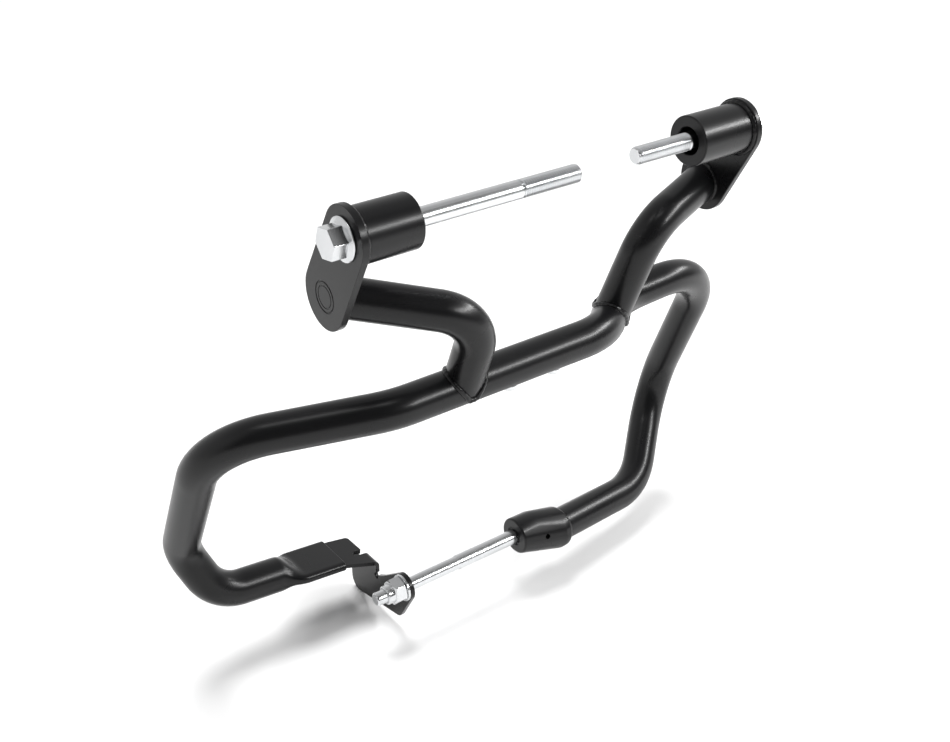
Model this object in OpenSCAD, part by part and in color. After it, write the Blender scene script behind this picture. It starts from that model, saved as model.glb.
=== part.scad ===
// Crash bars for the front of a motorcycle frame.
// One bent tube hoop hangs under two long engine bolts on two upright tubes,
// and a lower tie rod joins its two ends through a folded bracket and a boss.
// X runs across the motorcycle, Y runs back from the hoop's front, Z is up.
// The origin is the middle of the upper bolt axis.

/* [Tube] */
// Outer diameter of every tube
tube_od = 25.4; // [24:0.1:27]
// Wall of every tube
tube_wall = 2; // [1.5:0.1:3]
// Bend radius of the hoop, to the tube's axis
bend_r = 53.5; // [48:0.5:55]
// Bend radius at the lower left corner, to the tube's axis
corner_bend_r = 32; // [28:0.5:34]
// Bend radius of the upright tubes, to the tube's axis
upright_bend_r = 29; // [26:0.5:34]
// Size of the weld beads
weld_size = 2.2; // [1.5:0.1:3]

/* [Centre tube] */
// Drop of the centre tube below the upper bolt axis
centre_drop = 124.5; // [120:0.5:130]
// Distance of the centre tube behind the upper bolt axis
centre_back = 9.6; // [6:0.2:14]
// Left corner of the centre tube, from the middle
centre_left = 116.5; // [112:0.5:122]
// Right corner of the centre tube, from the middle
centre_right = 52.5; // [50:0.5:54]

/* [Left wing] */
// Reach of the upper left corner, from the middle
left_reach = 219; // [212:0.5:226]
// Distance of the upper left corner behind the centre tube
left_back = 50; // [46:0.5:54]
// Drop of the upper left corner below the centre tube
left_fall = 12.5; // [8:0.5:16]
// Distance of the lower left corner behind the upper one
left_leg_back = 72; // [66:0.5:76]
// Drop of the lower left corner below the upper one
left_leg_drop = 121.5; // [116:0.5:128]
// Run of the lower left corner towards the middle
left_leg_in = 4; // [0:0.5:8]

/* [Left lower arm] */
// Reach of the left lower arm's outer end, from the middle
left_arm_reach = 198; // [195:0.5:201]
// Distance of the left lower arm behind the bolt axis
left_arm_back = 119.5; // [117:0.5:122]
// Drop of the left lower arm's outer end below the bolt axis
left_arm_drop = 299; // [295:0.5:303]
// Reach of the flattened end of the left lower arm, from the middle
left_end_reach = 103.5; // [100:0.5:106]
// Downward slope of the left lower arm towards the middle, in degrees
arm_slope = 6; // [4:0.5:8]
// Length of the flattened end
flat_len = 31; // [26:0.5:34]
// Width of the flattened end
flat_w = 37; // [35:0.5:38]
// Length over which the tube turns from round to flat
flare_len = 17; // [14:0.5:20]

/* [Right wing] */
// Reach of the bend behind the right upright, from the middle
step_reach = 103; // [100:0.5:106]
// Distance of that bend behind the centre tube
step_back = 44.5; // [42:0.5:48]
// Drop of that bend below the centre tube
step_fall = 9; // [6:0.5:12]
// Reach of the upper right corner, from the middle
right_reach = 198; // [195:0.5:204]
// Distance of the upper right corner behind the centre tube
right_back = 41.5; // [38:0.5:45]
// Drop of the upper right corner below the centre tube
right_fall = 1.5; // [0:0.5:4]
// Distance of the lower right corner behind the upper one
right_leg_back = 67.5; // [62:0.5:72]
// Drop of the lower right corner below the upper one
right_leg_drop = 147; // [142:0.5:152]
// Run of the lower right corner away from the middle
right_leg_out = 14; // [9:0.5:18]

/* [Right lower arm] */
// Reach of the right lower arm's outer end, from the middle
right_arm_reach = 153; // [150:0.5:157]
// Distance of the right lower arm's outer end behind the bolt axis
right_arm_back = 69.5; // [66:0.5:73]
// Drop of the right lower arm's outer end below the bolt axis
right_arm_drop = 324.5; // [320:0.5:328]
// Reach of the right lower arm's welded end, from the middle
right_end_reach = 59.5; // [56:0.5:62]
// Distance of the welded end behind the bolt axis
right_end_back = 57; // [55:0.5:59]
// Drop of the welded end below the bolt axis
right_end_drop = 317; // [315:0.5:319]

/* [Uprights] */
// Distance of the uprights' feet in front of the axis of the tube that they stand on
foot_lead = 0.5; // [0.3:0.1:1.5]
// Place of the left upright on the centre tube, from the middle
left_foot = 66; // [60:0.5:70]
// Place of the left upright's bend, from the middle
left_knee_out = 66.5; // [62:0.5:70]
// Distance of the left upright's bend in front of the bolt axis
left_knee_front = 14; // [10:0.5:18]
// Drop of the left upright's bend below the bolt axis
left_knee_drop = 67; // [64:0.5:70]
// Place of the right upright along the tube that rises behind it, as a share
right_foot = 0.5; // [0.47:0.01:0.53]
// Place of the right upright's bend, from the middle
right_knee_out = 88; // [85:0.5:91]
// Distance of the right upright's bend behind the bolt axis
right_knee_back = 8.5; // [5:0.5:12]
// Drop of the right upright's bend below the bolt axis
right_knee_drop = 57; // [54:0.5:60]

/* [Plates] */
// Thickness of the two side plates
plate_t = 4.5; // [3:0.5:6]
// Radius of a plate's upper end, round the bolt
plate_top_r = 19.5; // [18:0.5:22]
// Radius of a plate's lower end, round the upright
plate_low_r = 20.5; // [19:0.5:24]
// Distance of a plate's lower end behind the bolt axis
plate_back = 25.5; // [22:0.5:28]
// Drop of a plate's lower end below the bolt axis
plate_drop = 45; // [42:0.5:48]

/* [Spacers] */
// Clear width between the two spacers
spacer_gap = 215.6; // [200:0.2:230]
// Length of the left spacer
left_spacer_len = 38.3; // [34:0.1:44]
// Length of the right spacer
right_spacer_len = 43.9; // [38:0.1:50]
// Outer diameter of the spacers
spacer_od = 33.2; // [30:0.2:36]
// Bore of the spacers
spacer_bore = 18.4; // [15:0.2:22]
// Rounding of the spacers' rims
spacer_round = 1; // [0.4:0.1:2]

/* [Upper bolts] */
// Shank diameter of the upper bolts
bolt_d = 12; // [10:0.1:12.5]
// Length of the left bolt under its head
left_bolt_len = 165; // [140:1:180]
// Length of the right bolt under its head
right_bolt_len = 95; // [80:1:120]
// Threaded length of the upper bolts
bolt_thread = 46; // [30:1:60]
// Clearance of the upper bolts in the plates, on the diameter
bolt_clear = 1; // [0.4:0.1:2]
// Diameter of the bolt heads' flange
head_flange_d = 26.4; // [24:0.2:30]
// Width across the flats of the bolt heads
head_flats = 18; // [16:0.5:19]
// Height of the bolt heads
head_h = 11.8; // [10:0.2:14]

/* [Lower tie rod] */
// Diameter of the rod
rod_d = 11; // [10:0.1:12]
// Diameter of the rod's threaded stretch
rod_thread_d = 10; // [9:0.1:10]
// Distance of the rod behind the bolt axis
rod_back = 59; // [57:0.5:61]
// Drop of the rod below the bolt axis
rod_drop = 309.5; // [308:0.5:311]
// Threaded length of the rod, from its free tip
rod_thread = 71; // [60:1:80]
// Length of rod that stands out of the nut
rod_tip = 8; // [4:0.5:12]
// Depth to which the rod is screwed into the boss
rod_seat = 30; // [20:0.5:34]
// Thickness of the washer
washer_t = 2; // [1:0.1:3]
// Diameter of the washer
washer_d = 20; // [18:0.5:21]
// Width across the flats of the nut
nut_flats = 17; // [15:0.5:18]
// Height of the nut's hexagon
nut_hex_h = 9; // [7:0.5:11]
// Height of the nut's round collar
nut_collar_h = 5; // [3:0.5:7]
// Diameter of the nut's round collar
nut_collar_d = 14; // [13:0.2:15]

/* [Lower bracket] */
// Thickness of the bracket's sheet
sheet_t = 3; // [2.5:0.1:3.5]
// Inner radius of the bracket's fold
fold_r = 2; // [1:0.2:3]
// Reach of the bracket's flange, from the middle
flange_reach = 82.3; // [80:0.1:85]
// Length of tongue inside the flattened tube
tongue_seat = 24; // [16:0.5:26]
// Radius of the flange round the rod
lobe_r = 10.5; // [10:0.1:13]
// Radius of the flange's lower front tip
tip_r = 8; // [6:0.5:10]
// Radius of the flange's lower rear corner
rear_r = 8.8; // [6:0.2:10]
// Distance of the flange's lower front tip behind the rod
tip_back = 11; // [8:0.5:14]
// Drop of the flange's lower front tip below the rod
tip_drop = 24; // [20:0.5:28]
// Distance of the flange's lower rear corner behind the rod
rear_back = 63; // [58:0.5:66]
// Drop of the flange's lower rear corner below the rod
rear_drop = 34.3; // [30:0.1:36]
// Height of the flange's rear edge above that corner
rear_rise = 22; // [18:0.5:24]
// Distance of the fold's front edge in front of the left lower arm
fold_lead = 24; // [21:0.5:27]
// Drop of the flange's step below the fold, at the fold's front edge
step_drop = 8; // [6:0.5:9]
// Radius of the relief hole in that step
relief_r = 2.5; // [2:0.1:3]
// Width of the fold
fold_w = 13.5; // [10:0.5:16]
// Width of the relief notch beside the fold
notch_w = 5.5; // [4:0.5:7]

/* [Lower boss] */
// Reach of the boss face, from the middle
boss_reach = 18.5; // [16:0.5:22]
// Diameter of the boss face
boss_face_d = 27.8; // [26:0.2:30]
// Diameter of the boss where the tube is welded on
boss_root_d = 32; // [31:0.2:35]
// Diameter of the small drain hole
drain_d = 4; // [3:0.5:6]

/* [Underside screws] */
// Place of the left screw under the centre tube, from the middle
screw_out = 28; // [24:0.5:34]
// Distance between the two screws
screw_pitch = 36; // [30:0.5:44]
// Diameter of the screw heads
screw_head_d = 11; // [9:0.5:13]
// Height of the screw heads
screw_head_h = 3.6; // [2.5:0.1:5]
// Shank diameter of the screws
screw_d = 6; // [4:0.5:7]
// Depth of the flat that each screw head seats on
screw_flat = 0.6; // [0.4:0.1:0.9]

/* [Hidden] */
$fn = 96;
tube_r = tube_od / 2;
bead_r = tube_r + weld_size;
// Hairline lap where two runs of one piece meet
nip = 0.02;
lap = 0.1;
steel_black = [0.17, 0.17, 0.18];
steel_zinc = [0.72, 0.72, 0.7];

// Corners of the hoop, from the flattened left end round to the welded right end
left_end = [-left_end_reach, left_arm_back,
    -left_arm_drop - (left_arm_reach - left_end_reach) * tan(arm_slope)];
left_low = [-left_arm_reach, left_arm_back, -left_arm_drop];
left_top = [-left_reach, centre_back + left_back, -centre_drop - left_fall];
left_heel = left_top + [left_leg_in, left_leg_back, -left_leg_drop];
centre_l = [-centre_left, centre_back, -centre_drop];
centre_r = [centre_right, centre_back, -centre_drop];
right_step = [step_reach, centre_back + step_back, -centre_drop - step_fall];
right_top = [right_reach, centre_back + right_back, -centre_drop - right_fall];
right_heel = right_top + [right_leg_out, right_leg_back, -right_leg_drop];
right_low = [right_arm_reach, right_arm_back, -right_arm_drop];
right_end = [right_end_reach, right_end_back, -right_end_drop];

// Where the round tube of the left lower arm ends and its flare begins
arm_dir = [cos(arm_slope), 0, -sin(arm_slope)];
round_end = left_end - arm_dir * (flat_len + flare_len);
hoop_path = [round_end, left_low, left_heel, left_top, centre_l, centre_r, right_step,
    right_top, right_heel, right_low, right_end];
hoop_bends = [0, corner_bend_r, corner_bend_r, bend_r, bend_r, bend_r, bend_r, bend_r,
    bend_r, bend_r, 0];

// Inner faces of the side plates
left_plate_x = -spacer_gap / 2 - left_spacer_len;
right_plate_x = spacer_gap / 2 + right_spacer_len;

// Corners of the two uprights, from the hoop to the side plates
plate_foot = [0, plate_back, -plate_drop];
left_path = [[-left_foot, centre_back - foot_lead, -centre_drop],
    [-left_knee_out, -left_knee_front, -left_knee_drop],
    [left_plate_x, 0, 0] + plate_foot];
right_path = [centre_r + (right_step - centre_r) * right_foot - [0, foot_lead, 0],
    [right_knee_out, right_knee_back, -right_knee_drop],
    [right_plate_x, 0, 0] + plate_foot];
upright_bends = [0, upright_bend_r, 0];

// Stations along the rod, from its free tip to its end in the boss
washer_x = -flange_reach - washer_t;
nut_x = washer_x - nut_hex_h;
collar_x = nut_x - nut_collar_h;
rod_tip_x = collar_x - rod_tip;
rod_end_x = boss_reach + rod_seat;

// Geometry of bends
function unit(v) = v / norm(v);
function turn(p, i) = acos(unit(p[i] - p[i - 1]) * unit(p[i + 1] - p[i]));
function setback(p, b, i) = (i == 0 || i == len(p) - 1) ? 0 : b[i] * tan(turn(p, i) / 2);
function across(v, d) = unit(v - (v * d) * d);

// A straight bar or tube from one point to another
module along(a, b) {
    d = b - a;
    translate(a)
        rotate([0, acos(d.z / norm(d)), atan2(d.y, d.x)])
            linear_extrude(height = norm(d))
                children();
}

// A ball on an axis along d, with its poles turned well away from that axis
module ball(at, d, r) {
    translate(at)
        rotate([0, acos(d.z), atan2(d.y, d.x)])
            rotate([0, 40, 25])
                sphere(r = r);
}

// A profile swept round corner i of path p
module round_corner(p, b, i) {
    into = unit(p[i] - p[i - 1]);
    out_of = unit(p[i + 1] - p[i]);
    side = -across(out_of, into);
    axle = cross(side, into);
    hub = p[i] - into * setback(p, b, i) - side * b[i];
    multmatrix([
        [side.x, into.x, axle.x, hub.x],
        [side.y, into.y, axle.y, hub.y],
        [side.z, into.z, axle.z, hub.z],
        [0, 0, 0, 1]])
        rotate_extrude(angle = turn(p, i))
            translate([b[i], 0])
                children();
}

// Solid round rod along a path with rounded corners: each bend runs into its
// straights inside a ball that is a hair thicker than the rod
module bent(p, b, r) {
    last = len(p) - 1;
    for (i = [0 : last - 1]) {
        d = unit(p[i + 1] - p[i]);
        a = p[i] + d * setback(p, b, i);
        z = p[i + 1] - d * setback(p, b, i + 1);
        along(i == 0 ? a : a + d * lap, i == last - 1 ? z : z - d * lap)
            circle(r = r);
        if (i > 0)
            ball(a, d, r + nip);
        if (i < last - 1)
            ball(z, d, r + nip);
    }
    for (i = [1 : last - 1])
        round_corner(p, b, i)
            circle(r = r);
}

// Round tube along a path with rounded corners, open at both ends
module bent_tube(p, b) {
    last = len(p) - 1;
    bore = [for (i = [0 : last])
        i == 0 ? p[0] - unit(p[1] - p[0]) : i == last ? p[last] + unit(p[last] - p[last - 1]) : p[i]];
    difference() {
        bent(p, b, tube_r);
        bent(bore, b, tube_r - tube_wall);
    }
}

module ring(outer, inner) {
    difference() {
        circle(r = outer);
        circle(r = inner);
    }
}

// Web between two round ends, with straight edges that touch both
module link_web(c1, r1, c2, r2) {
    d = unit(c2 - c1);
    lean = asin((r1 - r2) / norm(c2 - c1));
    up = [d.x * sin(lean) - d.y * cos(lean), d.y * sin(lean) + d.x * cos(lean)];
    down = [d.x * sin(lean) + d.y * cos(lean), d.y * sin(lean) - d.x * cos(lean)];
    polygon([c1 + up * (r1 - nip), c2 + up * (r2 - nip), c2 + down * (r2 - nip),
        c1 + down * (r1 - nip)]);
}

// A link outline: two round ends and the web between them
module link(c1, r1, c2, r2) {
    translate(c1)
        circle(r = r1);
    translate(c2)
        circle(r = r2);
    link_web(c1, r1, c2, r2);
}

// Puts an outline drawn in Y and Z on the plane at x, thickened towards +X
module on_side(x, t) {
    translate([x, 0, 0])
        rotate([90, 0, 90])
            linear_extrude(height = t)
                children();
}

// Puts a turned piece on an axis along X, at distance y behind and height z
module on_axis(x, y, z) {
    translate([x, y, z])
        rotate([0, 90, 0])
            children();
}

// A slot or bar with round edges, lying flat across the arm
module stadium(w, t) {
    square([t, w - t], center = true);
    for (s = [-1, 1])
        translate([0, s * (w - t) / 2])
            circle(d = t);
}

// Frame of the flattened end: +X runs out of the tube along the arm
module at_flat() {
    translate(left_end)
        rotate([0, arm_slope, 0])
            children();
}

flat_t = sheet_t + 2 * tube_wall;
slot_w = flat_w - 2 * tube_wall;
skin = 0.02;

// Loft from a round profile to a flat one along the arm
module flare(r, w, t) {
    hull() {
        translate([-flat_len - flare_len - lap, 0, 0])
            rotate([0, 90, 0])
                cylinder(r = r, h = 2 * lap, $fn = 48);
        translate([-flat_len - skin, 0, 0])
            rotate([0, 90, 0])
                linear_extrude(height = skin)
                    stadium(w, t, $fn = 32);
    }
}

module flattened_end() {
    at_flat() {
        difference() {
            flare(tube_r * 1.004, flat_w, flat_t);
            flare(tube_r - tube_wall - nip, slot_w, sheet_t);
        }
        translate([-flat_len, 0, 0])
            rotate([0, 90, 0])
                linear_extrude(height = flat_len)
                    difference() {
                        stadium(flat_w, flat_t, $fn = 32);
                        square([sheet_t, slot_w], center = true);
                    }
    }
}

// Screw places on the underside of the centre tube
screw_xs = [-screw_out, screw_pitch - screw_out];

module at_screw(x) {
    translate([x, centre_back, -centre_drop])
        rotate([180, 0, 0])
            children();
}

module front_hoop() {
    color(steel_black) {
        difference() {
            bent_tube(hoop_path, hoop_bends);
            for (x = screw_xs)
                at_screw(x) {
                    cylinder(d = screw_d, h = tube_od);
                    translate([0, 0, tube_r - screw_flat])
                        cylinder(d = screw_head_d, h = screw_head_h);
                }
        }
        flattened_end();
    }
}

module upright(p, a, b, plate_x, side) {
    color(steel_black)
        difference() {
            bent_tube([p[0], p[1], p[2] + unit(p[2] - p[1]) * tube_od], upright_bends);
            along(a, b)
                circle(r = tube_r);
            translate([plate_x + side * tube_od, plate_foot.y, plate_foot.z])
                cube([2 * tube_od, 4 * tube_od, 4 * tube_od], center = true);
        }
}

module left_upright() {
    upright(left_path, centre_l, centre_r, left_plate_x, -1);
}

module right_upright() {
    upright(right_path, centre_r, right_step, right_plate_x, 1);
}

// Bead round the foot of an upright, where it is coped over the hoop's tube
module saddle_weld(p, a, b) {
    color(steel_black)
        difference() {
            intersection() {
                along(p[0], p[1])
                    circle(r = bead_r);
                along(a, b)
                    circle(r = bead_r);
            }
            along(a, b)
                circle(r = tube_r);
            along(p[0], p[1])
                circle(r = tube_r);
        }
}

module left_saddle_weld() {
    saddle_weld(left_path, centre_l, centre_r);
}

module right_saddle_weld() {
    saddle_weld(right_path, centre_r, right_step);
}

// Bead round the upper end of an upright, on the inner face of its side plate
module plate_weld(p, plate_x, side) {
    color(steel_black)
        intersection() {
            along(p[1], p[2] + unit(p[2] - p[1]) * tube_od)
                ring(bead_r, tube_r);
            translate([plate_x - side * weld_size / 2, plate_foot.y, plate_foot.z])
                cube([weld_size, 4 * tube_od, 4 * tube_od], center = true);
        }
}

module left_plate_weld() {
    plate_weld(left_path, left_plate_x, -1);
}

module right_plate_weld() {
    plate_weld(right_path, right_plate_x, 1);
}

module side_plate(x) {
    low = [plate_back, -plate_drop];
    color(steel_black)
        difference() {
            union() {
                on_side(x, plate_t)
                    circle(r = plate_top_r);
                on_side(x, plate_t)
                    translate(low)
                        circle(r = plate_low_r);
                on_side(x, plate_t)
                    link_web([0, 0], plate_top_r, low, plate_low_r);
            }
            on_side(x - 1, plate_t + 2)
                circle(d = bolt_d + bolt_clear);
        }
}

module left_plate() {
    side_plate(left_plate_x - plate_t);
}

module right_plate() {
    side_plate(right_plate_x);
}

// Turned spacer with rounded rims, standing on its plate
module spacer(x, l) {
    r = spacer_od / 2;
    color(steel_black)
        on_axis(x, 0, 0)
            rotate_extrude()
                difference() {
                    translate([spacer_bore / 2, 0])
                        square([r - spacer_bore / 2, l]);
                    for (m = [0, 1])
                        translate([r - spacer_round, m == 0 ? spacer_round : l - spacer_round])
                            difference() {
                                translate([0, m == 0 ? -2 * spacer_round : 0])
                                    square([2 * spacer_round, 2 * spacer_round]);
                                circle(r = spacer_round);
                            }
                }
}

module left_spacer() {
    spacer(left_plate_x, left_spacer_len);
}

module right_spacer() {
    spacer(spacer_gap / 2, right_spacer_len);
}

// Fillet bead between a spacer and its plate
module spacer_weld(x, side) {
    r = spacer_od / 2;
    color(steel_black)
        on_axis(x, 0, 0)
            rotate_extrude()
                polygon([[r, 0], [r + weld_size, 0], [r + weld_size * 0.7, side * weld_size * 0.7],
                    [r, side * weld_size], [r, side * spacer_round],
                    [r - spacer_round * 0.3, side * spacer_round * 0.3], [r - spacer_round, 0]]);
}

module left_spacer_weld() {
    spacer_weld(left_plate_x, 1);
}

module right_spacer_weld() {
    spacer_weld(right_plate_x, -1);
}

// Hexagon with chamfered corners, standing on z = 0
module hexagon(flats, h, top) {
    corner = flats / cos(30) / 2;
    intersection() {
        cylinder(r = corner, h = h, $fn = 6);
        union() {
            cylinder(r1 = corner + h - top, r2 = flats / 2 + top * 0.1, h = h, $fn = 96);
        }
    }
}

// Flanged bolt: seat at z = 0, head above, shank below
module flanged_bolt(l, thread) {
    flange_h = 3;
    core = bolt_d * 0.96;
    cylinder(d = head_flange_d, h = flange_h / 2);
    translate([0, 0, flange_h / 2])
        cylinder(d1 = head_flange_d, d2 = head_flats, h = flange_h / 2);
    translate([0, 0, flange_h])
        hexagon(head_flats, head_h - flange_h, head_h - flange_h);
    translate([0, 0, -l + thread])
        cylinder(d = bolt_d, h = l - thread);
    translate([0, 0, -l + 1])
        cylinder(d = core, h = thread - 1);
    translate([0, 0, -l])
        cylinder(d1 = core - 2, d2 = core, h = 1);
}

module left_bolt() {
    color(steel_zinc)
        translate([left_plate_x - plate_t, 0, 0])
            rotate([0, -90, 0])
                flanged_bolt(left_bolt_len, bolt_thread);
}

module right_bolt() {
    color(steel_zinc)
        translate([right_plate_x + plate_t, 0, 0])
            rotate([0, 90, 0])
                flanged_bolt(right_bolt_len, bolt_thread);
}

module lower_rod() {
    chamfer = 1;
    color(steel_zinc)
        on_axis(rod_tip_x, rod_back, -rod_drop) {
            cylinder(d1 = rod_thread_d - 2 * chamfer, d2 = rod_thread_d, h = chamfer);
            translate([0, 0, chamfer])
                cylinder(d = rod_thread_d, h = rod_thread - chamfer);
            translate([0, 0, rod_thread])
                cylinder(d = rod_d, h = rod_end_x - rod_tip_x - rod_thread);
        }
}

module lower_nut() {
    color(steel_zinc)
        on_axis(collar_x, rod_back, -rod_drop)
            difference() {
                union() {
                    cylinder(d = nut_collar_d, h = nut_collar_h);
                    translate([0, 0, nut_collar_h + nut_hex_h])
                        mirror([0, 0, 1])
                            hexagon(nut_flats, nut_hex_h, nut_hex_h);
                }
                translate([0, 0, -1])
                    cylinder(d = rod_thread_d, h = nut_hex_h + nut_collar_h + 2);
            }
}

module lower_washer() {
    color(steel_zinc)
        on_axis(washer_x, rod_back, -rod_drop)
            linear_extrude(height = washer_t)
                ring(washer_d / 2, rod_thread_d / 2 + 0.25);
}

// Centre of the bracket's fold in the frame of the flattened end
fold_drop = sheet_t / 2 + fold_r;
fold_run = (left_end_reach - flange_reach - fold_r + fold_drop * sin(arm_slope)) / cos(arm_slope);
fold_z = left_end.z - fold_run * sin(arm_slope) - fold_drop * cos(arm_slope);
fold_front = left_arm_back - fold_lead;
fold_rear = fold_front + fold_w;

// Outline of the bracket's flange in Y and Z
module flange_outline() {
    rod = [rod_back, -rod_drop];
    tip = rod + [tip_back, -tip_drop];
    rear = rod + [rear_back, -rear_drop];
    step = [fold_front, fold_z - step_drop];
    difference() {
        union() {
            link(rod, lobe_r, tip, tip_r);
            link(tip, tip_r, rear, rear_r);
            polygon([rod, rod + [lobe_r * 0.6, lobe_r * 0.8], step + [-9, 5],
                step, [fold_front, fold_z + lap], [fold_rear, fold_z + lap],
                [fold_rear, fold_z - 6], rear + [rear_r, rear_rise], rear + [rear_r, 0], rear, tip]);
        }
        translate(step)
            circle(r = relief_r, $fn = 48);
        translate(rod)
            circle(d = rod_thread_d + 0.5);
    }
}

module lower_bracket() {
    color(steel_black) {
        on_side(-flange_reach, sheet_t)
            flange_outline();
        translate([-flange_reach - fold_r, fold_rear + nip, fold_z])
            rotate([90, 0, 0])
                rotate_extrude(angle = 90 - arm_slope)
                    translate([fold_r - nip, 0])
                        square([sheet_t + 2 * nip, fold_w + 2 * nip]);
        at_flat()
            translate([0, 0, -sheet_t / 2])
                linear_extrude(height = sheet_t)
                    tongue_outline();
    }
}

// Outline of the bracket's tongue in the frame of the flattened end
module tongue_outline() {
    front = fold_front - left_arm_back;
    rear = fold_rear - left_arm_back;
    translate([-tongue_seat, -slot_w / 2])
        square([tongue_seat, slot_w]);
    difference() {
        polygon([[-lap, -slot_w / 2 + nip], [fold_run - 8, front], [fold_run + lap, front],
            [fold_run + lap, rear], [fold_run, rear], [fold_run, slot_w / 2 - 10],
            [fold_run - 7, slot_w / 2 - 2.5], [-lap, slot_w / 2 - nip]]);
        translate([fold_run - 6 + notch_w / 2, rear + notch_w / 2])
            circle(d = notch_w, $fn = 48);
        translate([fold_run - 6 + notch_w / 2, rear])
            square([6, notch_w]);
    }
}

// Forged boss: a round face on the rod's axis that runs into the tube's end
module lower_boss() {
    arm = unit(right_low - right_end);
    recess = 1;
    color(steel_black)
        difference() {
            hull() {
                on_axis(boss_reach, rod_back, -rod_drop)
                    cylinder(d = boss_face_d, h = 16, $fn = 64);
                along(right_end - arm * 6, right_end)
                    circle(d = boss_root_d, $fn = 64);
            }
            on_axis(boss_reach - 1, rod_back, -rod_drop)
                cylinder(d = rod_d, h = rod_seat + 1);
            on_axis(boss_reach - 1, rod_back, -rod_drop)
                cylinder(d = rod_d + 4, h = 1 + recess);
            translate([boss_reach + 20, rod_back, -rod_drop])
                rotate([90, 0, 0])
                    cylinder(d = drain_d, h = boss_root_d);
        }
}

module boss_weld() {
    arm = unit(right_low - right_end);
    along(right_end, right_end + arm * weld_size)
        color(steel_black)
            ring(bead_r, tube_r);
}

// Small pan-head screw through the tube's wall
module under_screw(x) {
    color(steel_zinc)
        at_screw(x) {
            translate([0, 0, tube_r - screw_flat])
                cylinder(d = screw_head_d, h = screw_head_h);
            translate([0, 0, tube_r - tube_wall - 4])
                cylinder(d = screw_d, h = tube_wall + 4);
        }
}

module left_screw() {
    under_screw(screw_xs[0]);
}

module right_screw() {
    under_screw(screw_xs[1]);
}

front_hoop();
left_upright();
right_upright();
left_plate();
right_plate();
left_spacer();
right_spacer();
lower_boss();
lower_bracket();
left_bolt();
right_bolt();
lower_rod();
lower_nut();
lower_washer();
left_screw();
right_screw();
left_saddle_weld();
right_saddle_weld();
left_plate_weld();
right_plate_weld();
left_spacer_weld();
right_spacer_weld();
boss_weld();
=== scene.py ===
import math
from contextlib import contextmanager

import bpy
from mathutils import Matrix, Vector


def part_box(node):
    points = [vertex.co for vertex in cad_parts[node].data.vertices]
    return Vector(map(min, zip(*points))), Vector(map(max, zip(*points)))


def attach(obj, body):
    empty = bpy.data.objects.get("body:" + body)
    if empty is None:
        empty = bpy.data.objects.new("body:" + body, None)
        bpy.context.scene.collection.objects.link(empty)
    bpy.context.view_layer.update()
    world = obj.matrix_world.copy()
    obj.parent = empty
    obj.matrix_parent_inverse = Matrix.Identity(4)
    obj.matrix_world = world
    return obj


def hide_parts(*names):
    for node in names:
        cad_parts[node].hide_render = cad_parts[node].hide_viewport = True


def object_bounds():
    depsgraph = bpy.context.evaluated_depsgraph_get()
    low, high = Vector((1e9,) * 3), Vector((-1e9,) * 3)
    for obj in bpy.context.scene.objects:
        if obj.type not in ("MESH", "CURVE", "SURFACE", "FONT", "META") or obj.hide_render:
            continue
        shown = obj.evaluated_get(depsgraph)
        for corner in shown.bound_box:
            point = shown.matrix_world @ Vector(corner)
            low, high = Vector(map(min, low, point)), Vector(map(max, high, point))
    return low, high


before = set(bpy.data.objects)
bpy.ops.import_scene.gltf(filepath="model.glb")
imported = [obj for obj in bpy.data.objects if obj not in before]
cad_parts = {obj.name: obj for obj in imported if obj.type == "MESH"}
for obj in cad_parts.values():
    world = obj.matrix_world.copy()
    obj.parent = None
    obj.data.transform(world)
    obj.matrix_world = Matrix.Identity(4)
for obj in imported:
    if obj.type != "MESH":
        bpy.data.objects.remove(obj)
cad_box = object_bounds()

mm = 0.001
merge_gap = 0.001 * mm


def at(x, y, z):
    """A place in the part's frame, from millimetres."""
    return Vector((x, y, z)) * mm


# Drawn steel tube, as in the part's source
tube_r = 12.7 * mm
tube_wall = 2 * mm
bend_r = 53.5 * mm
corner_bend_r = 32 * mm
upright_bend_r = 29 * mm
bend_step = math.radians(5)
tube_sides = 64
round_steps = 96
cut_end_round = 0.8 * mm

# Pressed end of the left lower arm
arm_slope = math.radians(6)
arm_dir = Vector((math.cos(arm_slope), 0, -math.sin(arm_slope)))
arm_up = Vector((math.sin(arm_slope), 0, math.cos(arm_slope)))
arm_back = 119.5 * mm
flat_len = 31 * mm
flare_len = 17 * mm
flat_w = 37 * mm
flat_t = 7 * mm
press_rings = 40
left_end = at(-103.5, 119.5, -308.93)
round_end = left_end - arm_dir * (flat_len + flare_len)

# Corners of the hoop after the pressed end, each with its bend radius
centre_l = at(-116.5, 9.6, -124.5)
centre_r = at(52.5, 9.6, -124.5)
right_step = at(103, 54.1, -133.5)
right_low = at(153, 69.5, -324.5)
right_end = at(59.5, 57, -317)
hoop_corners = [
    (round_end, 0),
    (at(-198, 119.5, -299), corner_bend_r),
    (at(-215, 131.6, -258.5), corner_bend_r),
    (at(-219, 59.6, -137), bend_r),
    (centre_l, bend_r),
    (centre_r, bend_r),
    (right_step, bend_r),
    (at(198, 51.1, -126), bend_r),
    (at(212, 118.6, -273), bend_r),
    (right_low, bend_r),
    (right_end, 0),
]

# Feet and bends of the two uprights, and the place that they reach on their plates
left_foot = at(-66, 9.1, -124.5)
left_knee = at(-66.5, -14, -67)
right_foot = at(77.75, 31.35, -129)
right_knee = at(88, 8.5, -57)
plate_foot = Vector((0, 25.5 * mm, -45 * mm))

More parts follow.
